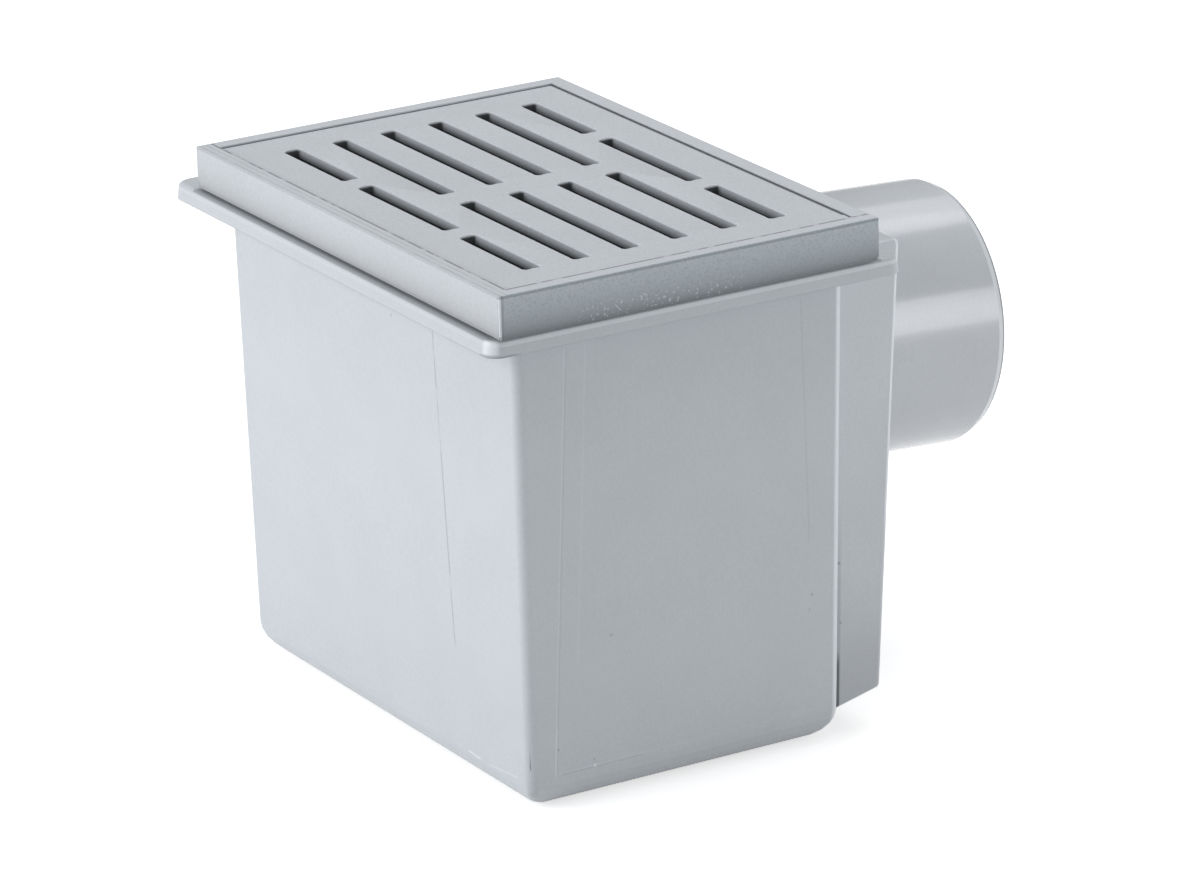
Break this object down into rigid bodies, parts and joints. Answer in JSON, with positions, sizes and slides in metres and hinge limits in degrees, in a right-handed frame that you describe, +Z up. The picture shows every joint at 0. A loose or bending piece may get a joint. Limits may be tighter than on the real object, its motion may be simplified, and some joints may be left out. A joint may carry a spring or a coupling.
{
  "type": "floor drain",
  "caption": "Grey plastic floor drain: a tapered trap box with a slotted rectangular grate in a raised frame and a pipe outlet at the rear that falls slightly.",
  "frame": {"origin": "centre of the trap box's flat bottom, which stands on the floor", "axes": "+Z up through the grate, +Y the level direction in which the water leaves (the outlet pipe falls 1 in 20 from it), +X along the long side of the box"},
  "size_m": [0.2578, 0.2857, 0.2204],
  "materials": {
    "body_plastic": "satin",
    "chamber_plastic": "satin",
    "pipe_plastic": "gloss",
    "frame_plastic": "matt, lightly textured",
    "grate_plastic": "matt, lightly textured",
    "plug_plastic": "satin",
    "seal_rubber": "matt"
  },
  "bodies": {
    "root": {"body": "body_plastic", "outlet_chamber": "chamber_plastic", "outlet_pipe": "pipe_plastic", "frame": "frame_plastic", "grate": "grate_plastic", "rodding_plug": "plug_plastic", "plug_seal": "seal_rubber"}
  },
  "joints": []
}
